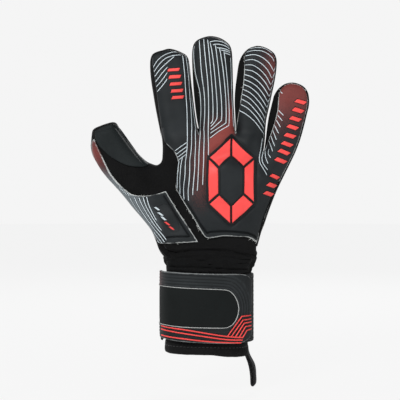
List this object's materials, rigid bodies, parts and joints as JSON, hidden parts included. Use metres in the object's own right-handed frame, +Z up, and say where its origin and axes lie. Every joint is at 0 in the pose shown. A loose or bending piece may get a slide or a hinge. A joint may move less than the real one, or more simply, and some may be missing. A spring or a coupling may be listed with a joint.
{
  "type": "goalkeeper glove",
  "caption": "Padded right-hand goalkeeper glove with bending fingers and thumb, bending wrist, wrap-over wrist strap and pull loop.",
  "frame": {"origin": "centre of the wrist opening, at the lower edge of the cuff", "axes": "+Z up to the fingertips, +X to the little-finger side, +Y out of the palm"},
  "size_m": [0.1904, 0.055, 0.3112],
  "materials": {
    "backhand_foam": "matt embossed foam with pale and red print",
    "palm_latex": "matt foamed latex",
    "gusset_fabric": "black stretch mesh",
    "thumb_print": "matt foam, printed grey to dull red",
    "lining": "brushed knit",
    "badge_red": "matt raised rubber",
    "wrist_knit": "soft knitted neoprene",
    "binding": "woven binding and webbing",
    "strap_elastic": "ribbed elastic",
    "strap_rubber": "matt embossed rubber with red print",
    "strap_inset": "matt smooth panel with a pale outline",
    "hook_loop": "hook-and-loop tape"
  },
  "bodies": {
    "hand": {"backhand_panel": "backhand_foam", "backhand_lining": "lining", "backhand_badge": "badge_red", "thumb_side_panel": "backhand_foam", "palm_latex": "palm_latex", "palm_lining": "lining", "outer_side_gusset": "gusset_fabric", "thumb_web_gusset": "gusset_fabric", "index_middle_crotch": "gusset_fabric", "middle_ring_crotch": "gusset_fabric", "ring_little_crotch": "gusset_fabric", "wrist_elastic": "wrist_knit"},
    "cuff": {"cuff_sleeve": "wrist_knit", "cuff_hem": "binding", "strap_band": "strap_elastic", "loop_patch": "hook_loop", "pull_loop_anchor": "binding"},
    "strap": {"strap_flap": "strap_rubber", "strap_inset": "strap_inset", "hook_patch": "hook_loop"},
    "loop": {"pull_loop": "binding"},
    "index_base": {"index_back_base": "backhand_foam", "index_palm_base": "palm_latex", "index_inner_gusset": "gusset_fabric", "index_outer_gusset": "gusset_fabric"},
    "index_tip": {"index_back_tip": "backhand_foam", "index_palm_tip": "palm_latex", "index_gusset_tip": "gusset_fabric"},
    "middle_base": {"middle_back_base": "backhand_foam", "middle_palm_base": "palm_latex", "middle_inner_gusset": "gusset_fabric", "middle_outer_gusset": "gusset_fabric"},
    "middle_tip": {"middle_back_tip": "backhand_foam", "middle_palm_tip": "palm_latex", "middle_gusset_tip": "gusset_fabric"},
    "ring_base": {"ring_back_base": "backhand_foam", "ring_palm_base": "palm_latex", "ring_inner_gusset": "gusset_fabric", "ring_outer_gusset": "gusset_fabric"},
    "ring_tip": {"ring_back_tip": "backhand_foam", "ring_palm_tip": "palm_latex", "ring_gusset_tip": "gusset_fabric"},
    "little_base": {"little_back_base": "backhand_foam", "little_palm_base": "palm_latex", "little_inner_gusset": "gusset_fabric", "little_outer_gusset": "gusset_fabric"},
    "little_tip": {"little_back_tip": "backhand_foam", "little_palm_tip": "palm_latex", "little_gusset_tip": "gusset_fabric"},
    "thumb_base": {"thumb_back_base": "thumb_print", "thumb_latex_base": "palm_latex", "thumb_gusset_back": "gusset_fabric", "thumb_gusset_front": "gusset_fabric"},
    "thumb_tip": {"thumb_back_tip": "thumb_print", "thumb_latex_wrap": "palm_latex", "thumb_gusset_tip": "gusset_fabric"}
  },
  "joints": [
    {"name": "wrist_bend", "type": "hinge", "parent": "hand", "child": "cuff", "pos_m": [0, 0, 0.085], "axis": [1, 0, 0], "range_deg": [-25, 25], "stiffness_Nm_per_rad": 0.6},
    {"name": "strap_open", "type": "hinge", "parent": "cuff", "child": "strap", "pos_m": [-0.041, -0.0045, 0.043], "axis": [0, 0, -1], "range_deg": [0, 100], "stiffness_Nm_per_rad": 0.02},
    {"name": "loop_swing", "type": "hinge", "parent": "cuff", "child": "loop", "pos_m": [0.035, 0, -0.0026], "axis": [0, -1, 0], "range_deg": [-10, 60], "stiffness_Nm_per_rad": 0.002},
    {"name": "index_knuckle", "type": "hinge", "parent": "hand", "child": "index_base", "pos_m": [-0.0252, 0.006, 0.196], "axis": [-1, 0, 0], "range_deg": [-10, 60], "stiffness_Nm_per_rad": 0.05},
    {"name": "index_middle_joint", "type": "hinge", "parent": "index_base", "child": "index_tip", "pos_m": [-0.02989, 0.006, 0.23068], "axis": [-1, 0, 0], "range_deg": [0, 65], "stiffness_Nm_per_rad": 0.03},
    {"name": "middle_knuckle", "type": "hinge", "parent": "hand", "child": "middle_base", "pos_m": [0.007, 0.006, 0.199], "axis": [-1, 0, 0], "range_deg": [-10, 60], "stiffness_Nm_per_rad": 0.05},
    {"name": "middle_middle_joint", "type": "hinge", "parent": "middle_base", "child": "middle_tip", "pos_m": [0.00514, 0.006, 0.23695], "axis": [-1, 0, 0], "range_deg": [0, 65], "stiffness_Nm_per_rad": 0.03},
    {"name": "ring_knuckle", "type": "hinge", "parent": "hand", "child": "ring_base", "pos_m": [0.0342, 0.006, 0.188], "axis": [-1, 0, 0], "range_deg": [-10, 60], "stiffness_Nm_per_rad": 0.05},
    {"name": "ring_middle_joint", "type": "hinge", "parent": "ring_base", "child": "ring_tip", "pos_m": [0.03997, 0.006, 0.22657], "axis": [-1, 0, 0], "range_deg": [0, 65], "stiffness_Nm_per_rad": 0.03},
    {"name": "little_knuckle", "type": "hinge", "parent": "hand", "child": "little_base", "pos_m": [0.0613, 0.006, 0.178], "axis": [-1, 0, 0], "range_deg": [-10, 60], "stiffness_Nm_per_rad": 0.05},
    {"name": "little_middle_joint", "type": "hinge", "parent": "little_base", "child": "little_tip", "pos_m": [0.06856, 0.006, 0.20608], "axis": [-1, 0, 0], "range_deg": [0, 65], "stiffness_Nm_per_rad": 0.03},
    {"name": "thumb_knuckle", "type": "hinge", "parent": "hand", "child": "thumb_base", "pos_m": [-0.042, 0.005, 0.125], "axis": [-0.7403, -0.0872, -0.6666], "range_deg": [-6, 22], "stiffness_Nm_per_rad": 0.08},
    {"name": "thumb_tip_joint", "type": "hinge", "parent": "thumb_base", "child": "thumb_tip", "pos_m": [-0.07144, 0.005, 0.1577], "axis": [-0.4415, 0.866, -0.2347], "range_deg": [-4, 30], "stiffness_Nm_per_rad": 0.04}
  ]
}
